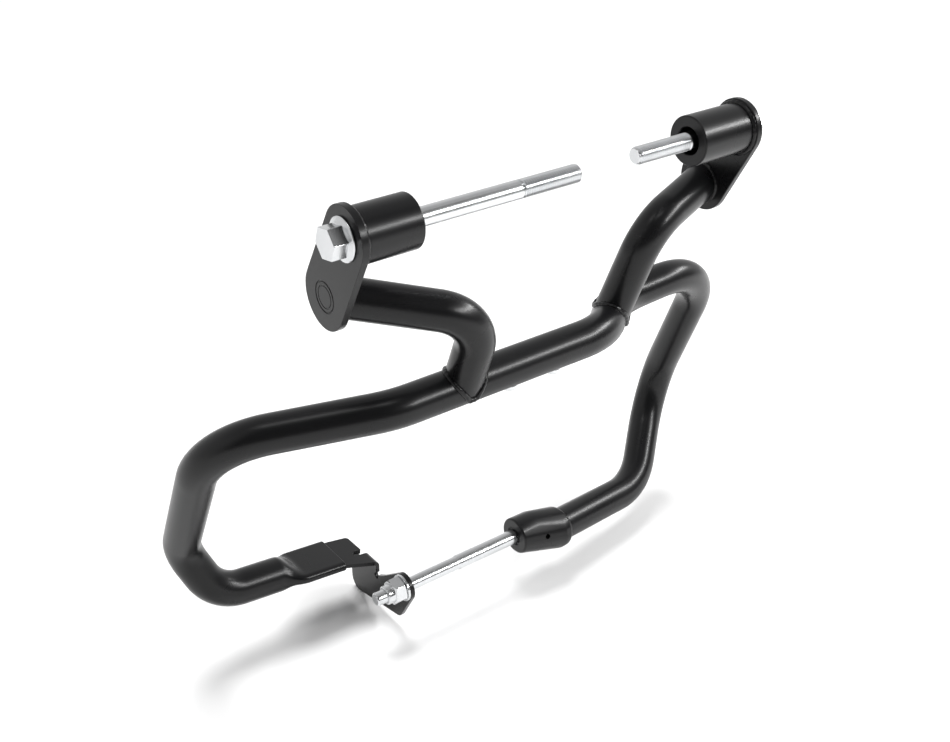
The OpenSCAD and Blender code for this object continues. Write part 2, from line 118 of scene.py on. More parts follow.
# Side plates, spacers and welds
plate_top_r = 19.5 * mm
plate_low_r = 20.5 * mm
plate_hole_r = 6.5 * mm
plate_edge = 0.7 * mm
stamp_centre = Vector((0, 24.5 * mm, -44.4 * mm))
stamp_r = 9.6 * mm
stamp_depth = 0.55 * mm
stamp_inner_r = stamp_r * 0.72
stamp_inner_depth = 0.35 * mm
spacer_bore_r = 9.2 * mm
spacer_round = 1 * mm
bead_r = 1.9 * mm
bead_sides = 12
spacer_bead_r = 2.0 * mm
boss_bead_off = 0.4 * mm

# Flanged engine bolts: M12 coarse. The flange's face lists (height, inset from its radius) in mm
bolt_r = 6 * mm
bolt_pitch = 1.75 * mm
bolt_thread = 46 * mm
thread_depth = 0.95 * mm
thread_runout = 3 * mm
thread_play = 0.08 * mm
thread_lap = 0.4 * mm
neck_cone = 1.2 * mm
neck_cone_depth = 1.0 * mm
head_flats = 18 * mm
head_flange_r = 13.2 * mm
head_h = 11.8 * mm
head_sink = 2.2 * mm
flange_h = 3.6 * mm
flange_face = [(0, 0.5), (0.4, 0.1), (0.9, 0), (1.3, 0.2), (1.6, 0.8), (2.1, 2.2), (2.8, 3.6), (3.4, 4.6)]
hex_turn = math.radians(-10)
hex_round = 0.4 * mm

# Tie rod, lock nut and washer. The rod's tip lists (length, inset from the neck's radius) in mm
rod_r = 5.5 * mm
rod_end_round = 0.6 * mm
rod_neck_r = 5 * mm
rod_step = 71 * mm
rod_step_cone = 0.8 * mm
rod_tip_face = [(0, 1.1), (0.2, 0.8), (1, 0.1), (1.3, 0)]
nut_flats = 17 * mm
nut_turn = math.radians(12)
nut_chamfer = 1.1 * mm
nut_round = 0.25 * mm
nut_collar_h = 5 * mm
nut_collar_r = 7 * mm
nut_collar_round = 1.1 * mm
nut_play = 0.02 * mm
washer_round = 0.35 * mm
washer_play = 0.25 * mm

# Bracket, in mm: places are those of the flange's outline behind and below the rod, or in Y and Z
sheet_t = 3
fold_r = 2
fold_front = 95.5
fold_rear = 109.0
fold_steps = 10
lug_r = 10.5
tip_back, tip_drop, tip_r = 11, 24, 8
rear_back, rear_drop, rear_r = 63, 34.3, 8.8
shoulder_y, shoulder_z, shoulder_r = 127.8, -325, 3
neck_y, neck_drop, neck_r = 111, 4, 2
step_drop = 8
relief_r = 2.5
swan_lead, swan_r = 7.5, 3
rod_hole_r = 5.25
slot_w = 33
tongue_seat = 24
notch_r = 2.75
notch_lead = 5
ear_lead, ear_r = 0.8, 1.2
ear_corner_lead, ear_corner_r = 3, 3
bracket_round = 0.5

# Forged boss
boss_face_r = 13.9 * mm
boss_face_len = 16 * mm
boss_root_r = 16 * mm
boss_root_len = 6 * mm
boss_round = 1.3 * mm
boss_bore_len = 30 * mm
boss_play = 0.05 * mm
spot_step = 2 * mm
drain_r = 2 * mm
drain_off = 20 * mm

# Pan-head screws
screw_head_h = 3.6 * mm
screw_shank_r = 3 * mm
socket_flats = 4 * mm
socket_depth = 1.8 * mm

# Where the photograph's camera stood
camera_place = Vector((-0.4735, -0.5507, 0.2801))
camera_turn = (math.radians(60.326), 0, math.radians(-36.737))
camera_lens = 48.738
floor_gap = 0.4 * mm

# Lamps: the sun's strength, breadth and tilt, and each softbox's place, width, height and power
sun_strength = 2.3
sun_breadth = math.radians(24)
sun_tilt = (math.radians(-20), math.radians(6), 0)
softboxes = {
    "front_strip": (Vector((1.2, -0.9, 0.75)), 2.2, 0.12, 38),
    "top_box": (Vector((-0.4, -0.3, 1.6)), 1.2, 0.3, 4),
}


def activate(piece, *others):
    """Selects these objects alone, and makes the first one active."""
    bpy.ops.object.select_all(action="DESELECT")
    for each in (piece, *others):
        each.select_set(True)
    bpy.context.view_layer.objects.active = piece


@contextmanager
def editing(piece):
    """Edit mode on one piece, with all of it selected."""
    activate(piece)
    bpy.ops.object.mode_set(mode="EDIT")
    bpy.ops.mesh.select_all(action="SELECT")
    yield
    bpy.ops.object.mode_set(mode="OBJECT")


def modify(piece, kind, **settings):
    """Adds a modifier and applies it."""
    activate(piece)
    modifier = piece.modifiers.new(kind.lower(), kind)
    for key, value in settings.items():
        setattr(modifier, key, value)
    bpy.ops.object.modifier_apply(modifier=modifier.name)


def combine(piece, tool, operation):
    """Cuts, joins or trims a piece with a tool, which is used up."""
    modify(piece, "BOOLEAN", operation=operation, object=tool, solver="EXACT")
    bpy.data.objects.remove(tool)


def soften(piece, width, segments=3, angle=40):
    """Rounds the edges that are sharper than the angle."""
    activate(piece)
    bpy.ops.object.shade_smooth()
    modify(
        piece,
        "BEVEL",
        width=width,
        segments=segments,
        limit_method="ANGLE",
        angle_limit=math.radians(angle),
        harden_normals=True,
    )


def smooth(piece, angle=32):
    """Smooth shading between sharp edges, which leaves flat faces looking flat."""
    activate(piece)
    bpy.ops.object.shade_smooth_by_angle(angle=math.radians(angle))
    modify(piece, "WEIGHTED_NORMAL", keep_sharp=True)


def join(piece, *others):
    activate(piece, *others)
    bpy.ops.object.join()
    return piece


def new_piece(name, points, edges=(), faces=()):
    mesh = bpy.data.meshes.new(name)
    mesh.from_pydata([tuple(p) for p in points], list(edges), list(faces))
    piece = bpy.data.objects.new(name, mesh)
    bpy.context.scene.collection.objects.link(piece)
    return piece


def primitive(name):
    """Names the primitive that was just added, and puts its place in its mesh."""
    piece = bpy.context.object
    piece.name = name
    activate(piece)
    bpy.ops.object.transform_apply(location=True, rotation=True, scale=True)
    return piece


def bar(name, start, end, radius, sides=64):
    """A round bar from one place to another, six-sided with sides=6."""
    bpy.ops.object.select_all(action="DESELECT")
    line = end - start
    bpy.ops.mesh.primitive_cylinder_add(
        vertices=sides,
        radius=radius,
        depth=line.length,
        location=(start + end) / 2,
        rotation=line.to_track_quat("Z", "Y").to_euler(),
    )
    return primitive(name)


def block(name, low, high):
    """A box between two corners."""
    bpy.ops.object.select_all(action="DESELECT")
    bpy.ops.mesh.primitive_cube_add(size=1, location=(low + high) / 2, scale=high - low)
    return primitive(name)


def rounded(corners):
    """The points of a line whose corners, given with their radii, are rounded."""
    places = [place for place, radius in corners]
    points = [places[0]]
    for i in range(1, len(corners) - 1):
        corner, radius = corners[i]
        back = (places[i - 1] - corner).normalized()
        ahead = (places[i + 1] - corner).normalized()
        half = back.angle(ahead) / 2
        hub = corner + (back + ahead).normalized() * radius / math.sin(half)
        start = corner + back * radius / math.tan(half) - hub
        end = corner + ahead * radius / math.tan(half) - hub
        sweep = start.angle(end)
        steps = math.ceil(sweep / bend_step)
        for k in range(steps + 1):
            before, after = sweep * (1 - k / steps), sweep * k / steps
            points.append(hub + (start * math.sin(before) + end * math.sin(after)) / math.sin(sweep))
    points.append(places[-1])
    return points


def belt(circles):
    """Outline of a belt run anticlockwise round circles (x, y, r). A negative r is a hollow."""
    leaving = []
    for (x1, y1, r1), (x2, y2, r2) in zip(circles, circles[1:] + circles[:1]):
        heading = math.atan2(y2 - y1, x2 - x1)
        leaving.append(heading - math.acos((r1 - r2) / math.hypot(x2 - x1, y2 - y1)))
    points = []
    for i, (x, y, r) in enumerate(circles):
        start, sweep = leaving[i - 1], (leaving[i] - leaving[i - 1]) % (2 * math.pi)
        if r < 0:
            sweep -= 2 * math.pi
        steps = 1 if r == 0 else max(2, math.ceil(abs(sweep) / math.radians(8)))
        for k in range(1 if r == 0 else steps + 1):
            a = start + sweep * k / steps
            points.append((x + r * math.cos(a), y + r * math.sin(a)))
    return points


def swept(name, path, radius, sides, closed=False, swell=None):
    """A round section swept along a path, by a bevelled curve that becomes a mesh."""
    curve = bpy.data.curves.new(name, "CURVE")
    curve.dimensions = "3D"
    curve.bevel_depth = radius
    curve.bevel_resolution = (sides - 4) // 2
    spline = curve.splines.new("POLY")
    spline.use_cyclic_u = closed
    spline.points.add(len(path) - 1)
    for i, (point, place) in enumerate(zip(spline.points, path)):
        point.co = (*place, 1)
        point.radius = swell(i) if swell else 1
    piece = bpy.data.objects.new(name, curve)
    bpy.context.scene.collection.objects.link(piece)
    activate(piece)
    bpy.ops.object.convert(target="MESH")
    with editing(piece):
        bpy.ops.mesh.remove_doubles(threshold=merge_gap)
        bpy.ops.mesh.normals_make_consistent(inside=False)
    return piece


def turned(name, profile, axis, steps=round_steps, closed=False):
    """A piece turned on an axis along X: the profile lists (x, radius), in metres."""
    points = [Vector((x, axis.y, axis.z + r)) for x, r in profile]
    edges = [(i, i + 1) for i in range(len(points) - 1)]
    if closed:
        edges.append((len(points) - 1, 0))
    piece = new_piece(name, points, edges)
    with editing(piece):
        bpy.ops.mesh.spin(steps=steps, angle=2 * math.pi, center=axis, axis=(1, 0, 0))
        bpy.ops.mesh.select_all(action="SELECT")
        bpy.ops.mesh.remove_doubles(threshold=merge_gap)
        bpy.ops.mesh.normals_make_consistent(inside=False)
    return piece


def arc(x, r, radius, first, last, steps=6):
    """Points of a rounded rim in a turned profile, from one angle to another in degrees."""
    angles = [math.radians(first + (last - first) * k / steps) for k in range(steps + 1)]
    return [(x + radius * math.cos(a), r + radius * math.sin(a)) for a in angles]


def dress(piece, node, slot):
    """Makes a piece stand for a node of the part, in one of its two finishes."""
    piece.data.materials.clear()
    piece.data.materials.append(finishes[slot])
    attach(piece, "root")
    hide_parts(node)


def pressed(place):
    """Where a point of the round tube goes when the arm's end is pressed flat."""
    along = (place - round_end).dot(arm_dir)
    across = place - round_end - arm_dir * along
    if along <= 0 or across.length > 2 * tube_r:
        return place
    y, z = across.y, across.dot(arm_up)
    rim = flat_t / 2
    straight = flat_w / 2 - rim
    quarter = rim * math.pi / 2 + straight
    run = math.atan2(abs(z), abs(y)) / (math.pi / 2) * quarter
    if run < rim * math.pi / 2:
        flat = (straight + rim * math.cos(run / rim), rim * math.sin(run / rim))
    else:
        flat = (quarter - run, rim)
    t = min(1, along / flare_len)
    ease = t * t * (3 - 2 * t)
    y += (math.copysign(flat[0], y) - y) * ease
    z += (math.copysign(flat[1], z) - z) * ease
    return round_end + arm_dir * along + Vector((0, y, 0)) + arm_up * z


def make_hoop():
    """The bent tube of the hoop, with its left end pressed flat over the bracket's tongue."""
    run = [left_end.lerp(round_end, k / press_rings) for k in range(press_rings)]
    piece = swept("hoop_tube", run + rounded(hoop_corners), tube_r, tube_sides)
    for vertex in piece.data.vertices:
        vertex.co = pressed(vertex.co)
    modify(piece, "SOLIDIFY", thickness=tube_wall, offset=-1)
    soften(piece, cut_end_round, angle=60)
    dress(piece, "front_hoop", "powder_coat")


def make_upright(side, foot, knee, plate_x, run):
    """An upright tube, coped over the hoop at its foot and mitred against its side plate."""
    name = "left" if side < 0 else "right"
    top = Vector((plate_x, 0, 0)) + plate_foot
    beyond = top + (top - knee).normalized() * 2 * tube_r
    piece = swept(name + "_upright_tube", rounded([(foot, 0), (knee, upright_bend_r), (beyond, 0)]),
                  tube_r, tube_sides)
    modify(piece, "SOLIDIFY", thickness=tube_wall, offset=-1)
    reach = Vector((2 * tube_r, 4 * tube_r, 4 * tube_r))
    middle = top + Vector((side * reach.x, 0, 0))
    combine(piece, block("mitre", middle - reach, middle + reach), "DIFFERENCE")
    combine(piece, bar("cope", run[0], run[1], tube_r), "DIFFERENCE")
    smooth(piece)
    dress(piece, name + "_upright", "powder_coat")


def ring_round(start, end):
    """Places round a tube's skin, with the direction of its axis."""
    line = (end - start).normalized()
    a = line.orthogonal().normalized()
    b = line.cross(a)
    turns = [2 * math.pi * k / round_steps for k in range(round_steps)]
    return [start + (a * math.cos(t) + b * math.sin(t)) * tube_r for t in turns], line


def ripple(i):
    """Swell of a weld bead at each place, as the puddle was laid drop by drop."""
    return 1 + 0.07 * math.sin(i * 1.9) + 0.03 * math.sin(i * 0.7)


def make_bead(name, path, radius, node):
    piece = swept(name, path, radius, bead_sides, closed=True, swell=ripple)
    smooth(piece, 60)
    dress(piece, node, "powder_coat")


def make_saddle_bead(side, foot, knee, run):
    """The bead where an upright stands on the hoop's tube."""
    name = "left" if side < 0 else "right"
    ring, line = ring_round(foot, knee)
    axis = (run[1] - run[0]).normalized()
    rise = line - axis * line.dot(axis)
    path = []
    for place in ring:
        off = place - run[0]
        off = off - axis * off.dot(axis)
        b, c = off.dot(rise), off.dot(off) - tube_r * tube_r
        height = (-b + math.sqrt(max(0, b * b - rise.dot(rise) * c))) / rise.dot(rise)
        path.append(place + line * height)
    make_bead(name + "_saddle_bead", path, bead_r, name + "_saddle_weld")


def make_plate_bead(side, knee, plate_x):
    """The bead where an upright meets the inner face of its side plate."""
    name = "left" if side < 0 else "right"
    top = Vector((plate_x, 0, 0)) + plate_foot
    ring, line = ring_round(top, knee)
    path = [place + line * (plate_x - place.x) / line.x for place in ring]
    make_bead(name + "_plate_bead", path, bead_r, name + "_plate_weld")


def make_spacer_bead(side, plate_x, radius):
    """The bead round a spacer's foot, on the plate."""
    name = "left" if side < 0 else "right"
    turns = [2 * math.pi * k / round_steps for k in range(round_steps)]
    path = [Vector((plate_x, radius * math.cos(t), radius * math.sin(t))) for t in turns]
    make_bead(name + "_spacer_bead", path, spacer_bead_r, name + "_spacer_weld")


def make_plate(side):
    """A side plate: a link-shaped blank with a bolt hole, its cut edges rounded by the coating."""
    name = "left" if side < 0 else "right"
    low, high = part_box(name + "_plate")
    outline = belt([(0, 0, plate_top_r), (plate_foot.y, plate_foot.z, plate_low_r)][::-1])
    points = [Vector((low.x, y, z)) for y, z in outline]
    piece = new_piece(name + "_side_plate", points, faces=[range(len(points))])
    with editing(piece):
        bpy.ops.mesh.extrude_region_move(TRANSFORM_OT_translate={"value": (high.x - low.x, 0, 0)})
        bpy.ops.mesh.select_all(action="SELECT")
        bpy.ops.mesh.remove_doubles(threshold=merge_gap)
        bpy.ops.mesh.normals_make_consistent(inside=False)
    hole = bar("hole", Vector((low.x - mm, 0, 0)), Vector((high.x + mm, 0, 0)), plate_hole_r)
    combine(piece, hole, "DIFFERENCE")
    if side < 0:
        for radius, depth in ((stamp_r, stamp_depth), (stamp_inner_r, stamp_inner_depth)):
            groove = turned("stamp", arc(low.x, radius, depth, 0, 330, 11), stamp_centre, closed=True)
            combine(piece, groove, "DIFFERENCE")
    soften(piece, plate_edge)
    dress(piece, name + "_plate", "powder_coat")


def make_spacer(side):
    """A turned spacer tube with rounded rims and a broken bore edge."""
    name = "left" if side < 0 else "right"
    low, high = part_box(name + "_spacer")
    r, c = high.z, spacer_round
    profile = [(low.x, spacer_bore_r + c / 2), *arc(low.x + c, r - c, c, 180, 90),
               *arc(high.x - c, r - c, c, 90, 0), (high.x, spacer_bore_r + c / 2),
               (high.x - c / 2, spacer_bore_r), (low.x + c / 2, spacer_bore_r)]
    piece = turned(name + "_spacer_sleeve", profile, Vector((0, 0, 0)), closed=True)
    smooth(piece)
    dress(piece, name + "_spacer", "powder_coat")


def thread(name, tip, root, axis, crest, depth, pitch, runout):
    """A threaded stretch from a chamfered tip to the root, where the thread runs out."""
    step = 1 if root > tip else -1
    tooth = [(0, crest - depth), (0.12, crest - depth), (0.44, crest), (0.56, crest), (0.88, crest - depth),
             (1, crest - depth)]
    points = [Vector(((x - 1) * pitch, 0, r)) for x, r in tooth]
    piece = new_piece(name, points, [(i, i + 1) for i in range(len(points) - 1)])
    length = abs(root - tip)
    modify(piece, "SCREW", axis="X", steps=48, render_steps=48, iterations=math.ceil(length / pitch) + 2,
           screw_offset=pitch, use_merge_vertices=False)
    for vertex in piece.data.vertices:
        x, y, z = vertex.co
        r = math.hypot(y, z)
        wanted = crest - (crest - r) * max(0, min(1, (length - x) / runout))
        wanted = min(wanted, crest - depth * 1.3 + max(0, x))
        vertex.co = (x, y * wanted / r, z * wanted / r)
    with editing(piece):
        bpy.ops.mesh.remove_doubles(threshold=merge_gap)
        bpy.ops.mesh.normals_make_consistent(inside=False)
        for place, normal in ((0, -1), (length, 1)):
            bpy.ops.mesh.select_all(action="SELECT")
            bpy.ops.mesh.bisect(plane_co=(place, 0, 0), plane_no=(normal, 0, 0), use_fill=True,
                                clear_outer=True, threshold=0.1 * merge_gap)
    place = Matrix.Translation(Vector((tip, axis.y, axis.z))) @ Matrix.Diagonal((step, 1, 1, 1))
    piece.data.transform(place)
    with editing(piece):
        bpy.ops.mesh.normals_make_consistent(inside=False)
    return piece


def hexagon(name, x1, x2, axis, flats, turn):
    """A hexagonal prism along X."""
    piece = bar(name, Vector((x1, 0, 0)), Vector((x2, 0, 0)), flats / math.sqrt(3), sides=6)
    corner = math.atan2(piece.data.vertices[0].co.z, piece.data.vertices[0].co.y)
    piece.data.transform(Matrix.Translation(axis) @ Matrix.Rotation(turn - corner, 4, "X"))
    return piece


def make_engine_bolt(side):
    """A flanged bolt: dished flange, hexagon, plain shank and a cut thread."""
    name = "left" if side < 0 else "right"
    low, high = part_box(name + "_bolt")
    axis = Vector((0, 0, 0))
    crown = low.x if side < 0 else high.x
    tip = high.x if side < 0 else low.x
    seat = crown - side * head_h
    neck = tip + side * bolt_thread
    cone = neck - side * neck_cone
    profile = [(cone, 0), (cone, bolt_r - neck_cone_depth), (neck, bolt_r), (seat, bolt_r)]
    profile += [(seat + side * height * mm, head_flange_r - inset * mm) for height, inset in flange_face]
    profile.append((seat + side * flange_h, 0))
    piece = turned(name + "_engine_bolt", profile, axis)
    hexa = hexagon("hexagon", seat + side * head_sink, crown, axis, head_flats, hex_turn)
    soften(hexa, hex_round)
    smooth(piece, 40)
    screw = thread("thread", tip, neck + side * thread_lap, axis, bolt_r - thread_play, thread_depth,
                   bolt_pitch, thread_runout)
    smooth(screw, 50)
    join(piece, hexa, screw)
    dress(piece, name + "_bolt", "zinc_plate")


def make_tie_rod():
    """The lower rod: a plain bar with a thinner neck that ends in a chamfered pilot."""
    low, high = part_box("lower_rod")
    axis = (low + high) / 2
    step = low.x + rod_step - 0.5 * mm
    profile = [(low.x, 0)]
    profile += [(low.x + length * mm, rod_neck_r - inset * mm) for length, inset in rod_tip_face]
    profile += [(step, rod_neck_r), (step + rod_step_cone, rod_r), (high.x - rod_end_round, rod_r),
                (high.x, rod_r - rod_end_round), (high.x, 0)]
    piece = turned("tie_rod", profile, axis)
    smooth(piece)
    dress(piece, "lower_rod", "zinc_plate")


def make_lock_nut():
    """The lock nut: a hexagon chamfered on both ends, with a round collar towards the rod's tip."""
    low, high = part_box("lower_nut")
    axis = Vector((0, *axis_of("lower_rod")))
    hex_x = low.x + nut_collar_h
    flat, corner, c = nut_flats / 2, nut_flats / math.sqrt(3), nut_chamfer
    hexa = hexagon("lock_nut", hex_x, high.x, axis, nut_flats, nut_turn)
    inner, outer = flat - 0.3 * mm, corner + 0.2 * mm
    trim = [(hex_x, 0), (hex_x, inner), (hex_x + c, outer), (high.x - c, outer), (high.x, inner), (high.x, 0)]
    combine(hexa, turned("chamfer", trim, axis), "INTERSECT")
    soften(hexa, nut_round, segments=2, angle=25)
    r = nut_collar_round
    collar = [(low.x, 0), (low.x, nut_collar_r - r - 0.1 * mm),
              *arc(low.x + r, nut_collar_r - r, r, 180, 90),
              (hex_x + 0.5 * mm, nut_collar_r), (hex_x + 0.5 * mm, 0)]
    combine(hexa, turned("collar", collar, axis), "UNION")
    ends = Vector((low.x - mm, axis.y, axis.z)), Vector((high.x + mm, axis.y, axis.z))
    combine(hexa, bar("bore", *ends, rod_neck_r + nut_play), "DIFFERENCE")
    smooth(hexa, 35)
    dress(hexa, "lower_nut", "zinc_plate")


def axis_of(node):
    """Y and Z of the axis of a turned node."""
    low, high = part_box(node)
    return (low.y + high.y) / 2, (low.z + high.z) / 2


def make_washer():
    low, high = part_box("lower_washer")
    axis = Vector((0, *axis_of("lower_washer")))
    r, c = (high.z - low.z) / 2, washer_round
    bore = rod_neck_r + washer_play
    profile = [(low.x, bore), *arc(low.x + c, r - c, c, 180, 90, 4), *arc(high.x - c, r - c, c, 90, 0, 4),
               (high.x, bore)]
    piece = turned("flat_washer", profile, axis, closed=True)
    smooth(piece)
    dress(piece, "lower_washer", "zinc_plate")


def make_bracket():
    """The bracket, cut from sheet and folded once: its tongue sits in the pressed end of the tube."""
    low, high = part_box("lower_bracket")
    rod_y, rod_z = (v / mm for v in axis_of("lower_rod"))
    mid_r = fold_r + sheet_t / 2
    flange_x = high.x / mm - sheet_t / 2
    hub_x = flange_x - mid_r
    end = left_end / mm
    fold_run = (hub_x - end.x + mid_r * math.sin(arm_slope)) / math.cos(arm_slope)
    hub_z = end.z - fold_run * math.sin(arm_slope) - mid_r * math.cos(arm_slope)
    flange = belt([
        (rod_y, rod_z, lug_r),
        (rod_y + tip_back, rod_z - tip_drop, tip_r),
        (rod_y + rear_back, rod_z - rear_drop, rear_r),
        (shoulder_y, shoulder_z, shoulder_r),
        (neck_y, hub_z - neck_drop, -neck_r),
        (fold_rear, hub_z, 0),
        (fold_front, hub_z, 0),
        (fold_front, hub_z - step_drop, 0),
        (fold_front - swan_lead, hub_z, -swan_r),
    ])
    back, half = arm_back / mm, slot_w / 2
    tongue = belt([
        (-tongue_seat, back - half, 0),
        (0, back - half, 0),
        (fold_run, fold_front, 0),
        (fold_run, fold_rear, 0),
        (fold_run - notch_lead, fold_rear + notch_r, -notch_r),
        (fold_run - ear_lead, fold_rear + notch_r + 2 + ear_r, ear_r),
        (fold_run - ear_corner_lead, back + half - 5.5, ear_corner_r),
        (0, back + half - 0.6, 0),
        (0, back + half, 0),
        (-tongue_seat, back + half, 0),
    ])
    points = [at(flange_x, y, z) for y, z in flange]
    faces = [list(range(len(points)))]
    for k in range(fold_steps + 1):
        a = (math.pi / 2 - arm_slope) * k / fold_steps
        for y in (fold_front, fold_rear):
            points.append(at(hub_x + mid_r * math.cos(a), y, hub_z + mid_r * math.sin(a)))
        if k:
            n = len(points)
            faces.append([n - 4, n - 3, n - 1, n - 2])
    first = len(points)
    points += [left_end + arm_dir * u * mm + Vector((0, y * mm - arm_back, 0)) for u, y in tongue]
    faces.append(list(range(first, len(points))))
    piece = new_piece("folded_bracket", points, faces=faces)
    with editing(piece):
        bpy.ops.mesh.remove_doubles(threshold=2 * merge_gap)
        bpy.ops.mesh.normals_make_consistent(inside=False)
    modify(piece, "SOLIDIFY", thickness=sheet_t * mm, offset=0)
    for y, z, r in ((fold_front, hub_z - step_drop, relief_r), (rod_y, rod_z, rod_hole_r)):
        hole = bar("hole", at(flange_x - 3, y, z), at(flange_x + 3, y, z), r * mm, sides=48)
        combine(piece, hole, "DIFFERENCE")
    soften(piece, bracket_round * mm, angle=35)
    dress(piece, "lower_bracket", "powder_coat")


def make_boss():
    """The forged boss: its round face on the rod runs into the root that the tube is welded to."""
    low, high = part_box("lower_boss")
    y, z = axis_of("lower_rod")
    arm = (right_low - right_end).normalized()
    face = bar("forged_boss", Vector((low.x, y, z)), Vector((low.x + boss_face_len, y, z)), boss_face_r)
    root = bar("root", right_end - arm * boss_root_len, right_end, boss_root_r)
    piece = join(face, root)
    with editing(piece):
        bpy.ops.mesh.convex_hull()
        bpy.ops.mesh.select_all(action="SELECT")
        bpy.ops.mesh.dissolve_limited(angle_limit=math.radians(1))
        bpy.ops.mesh.normals_make_consistent(inside=False)
    soften(piece, boss_round, segments=4, angle=28)
    for reach, r in ((boss_bore_len, rod_r + boss_play), (mm, rod_r + spot_step)):
        tool = bar("bore", Vector((low.x - mm, y, z)), Vector((low.x + reach, y, z)), r)
        combine(piece, tool, "DIFFERENCE")
    drain_x = low.x + drain_off
    drain = bar("drain", Vector((drain_x, y - 3 * boss_face_r, z)), Vector((drain_x, y, z)), drain_r)
    combine(piece, drain, "DIFFERENCE")
    smooth(piece, 28)
    dress(piece, "lower_boss", "powder_coat")


def make_boss_bead():
    """The bead where the right lower arm is welded on its boss."""
    ring, line = ring_round(right_end + (right_low - right_end).normalized() * boss_bead_off, right_low)
    make_bead("boss_bead", ring, bead_r, "boss_weld")


def make_pan_screw(side):
    """A small pan-head screw with a hexagon socket, on the underside of the centre tube."""
    name = "left" if side < 0 else "right"
    low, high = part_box(name + "_screw")
    x, y = (low.x + high.x) / 2, (low.y + high.y) / 2
    r, length = (high.x - low.x) / 2, high.z - low.z
    profile = [(0, 0), (0, r * 0.62), (0.25 * mm, r * 0.8), (0.9 * mm, r * 0.94), (1.8 * mm, r),
               (screw_head_h, r), (screw_head_h, screw_shank_r), (length, screw_shank_r), (length, 0)]
    piece = turned(name + "_pan_screw", profile, Vector((0, 0, 0)), steps=64)
    socket = hexagon("socket", -mm, socket_depth, Vector((0, 0, 0)), socket_flats, 0)
    combine(piece, socket, "DIFFERENCE")
    piece.data.transform(Matrix.Translation((x, y, low.z)) @ Matrix.Rotation(-math.pi / 2, 4, "Y"))
    smooth(piece)
    dress(piece, name + "_screw", "zinc_plate")


def linear(code):
    """An sRGB hex colour as linear red, green, blue and alpha."""
    parts = [int(code[i:i + 2], 16) / 255 for i in (1, 3, 5)]
    return [c / 12.92 if c <= 0.04045 else ((c + 0.055) / 1.055) ** 2.4 for c in parts] + [1]


def add_node(tree, kind, settings=None, links=None):
    """Adds a node, sets its properties and sockets, and links its inputs."""
    node = tree.nodes.new(kind)
    for key, value in (settings or {}).items():
        if isinstance(key, str) and hasattr(node, key):
            setattr(node, key, value)
        else:
            node.inputs[key].default_value = value
    for key, source in (links or {}).items():
        tree.links.new(source, node.inputs[key])
    return node


def new_material(name):
    material = bpy.data.materials.new(name)
    material.use_nodes = True
    material.node_tree.nodes.clear()
    return material, material.node_tree


def satin_black_powder_coat():
    """Polyester powder, sprayed and baked on steel: a black satin skin with a faint orange peel,
    slightly glossier and duller in patches as wide as a hand."""
    material, tree = new_material("satin_black_powder_coat")
    place = add_node(tree, "ShaderNodeTexCoord").outputs["Object"]
    patches = add_node(tree, "ShaderNodeTexNoise", {"Scale": 1 / (60 * mm), "Detail": 2}, {"Vector": place})
    colour = add_node(tree, "ShaderNodeMix",
                      {"data_type": "RGBA", 6: linear("#0e0e0f"), 7: linear("#141415")},
                      {0: patches.outputs["Fac"]})
    gloss = add_node(tree, "ShaderNodeMapRange", {"To Min": 0.24, "To Max": 0.32},
                     {"Value": patches.outputs["Fac"]})
    # The peel of the real coat is about 0.8 mm wide, and its grain is drawn at that size
    peel = add_node(tree, "ShaderNodeTexNoise", {"Scale": 1 / (1.6 * mm), "Detail": 1}, {"Vector": place})
    bump = add_node(tree, "ShaderNodeBump", {"Strength": 0.25, "Distance": 0.02 * mm},
                    {"Height": peel.outputs["Fac"]})
    shader = add_node(tree, "ShaderNodeBsdfPrincipled", {"Metallic": 0, "IOR": 1.36},
                      {"Base Color": colour.outputs[2], "Roughness": gloss.outputs["Result"],
                       "Normal": bump.outputs["Normal"]})
    add_node(tree, "ShaderNodeOutputMaterial", {}, {"Surface": shader.outputs["BSDF"]})
    return material


def bright_zinc_plate():
    """Turned and rolled steel, electroplated with bright zinc: a clear silver metal with the lathe's
    fine rings round its axis and a slight bloom."""
    material, tree = new_material("bright_zinc_plate")
    place = add_node(tree, "ShaderNodeTexCoord").outputs["Object"]
    bloom = add_node(tree, "ShaderNodeTexNoise", {"Scale": 1 / (14 * mm), "Detail": 3}, {"Vector": place})
    colour = add_node(tree, "ShaderNodeMix",
                      {"data_type": "RGBA", 6: linear("#ccced0"), 7: linear("#dfe0e1")},
                      {0: bloom.outputs["Fac"]})
    gloss = add_node(tree, "ShaderNodeMapRange", {"To Min": 0.18, "To Max": 0.28},
                     {"Value": bloom.outputs["Fac"]})
    # Lathe rings are about 0.1 mm apart, and are drawn 0.5 mm apart so that they show
    rings = add_node(tree, "ShaderNodeTexWave", {"Scale": 1 / (0.5 * mm) / 20, "Distortion": 0.4,
                                                 "Detail": 1}, {"Vector": place})
    bump = add_node(tree, "ShaderNodeBump", {"Strength": 0.08, "Distance": 0.01 * mm},
                    {"Height": rings.outputs["Fac"]})
    shader = add_node(tree, "ShaderNodeBsdfPrincipled", {"Metallic": 1},
                      {"Base Color": colour.outputs[2], "Roughness": gloss.outputs["Result"],
                       "Normal": bump.outputs["Normal"]})
    add_node(tree, "ShaderNodeOutputMaterial", {}, {"Surface": shader.outputs["BSDF"]})
    return material


def white_paper():
    """The studio's paper sweep: matt white, and lit until it shows as pure white."""
    material, tree = new_material("white_paper")
    paper = add_node(tree, "ShaderNodeBsdfDiffuse", {"Color": linear("#eeeeee")})
    add_node(tree, "ShaderNodeOutputMaterial", {}, {"Surface": paper.outputs[0]})
    return material


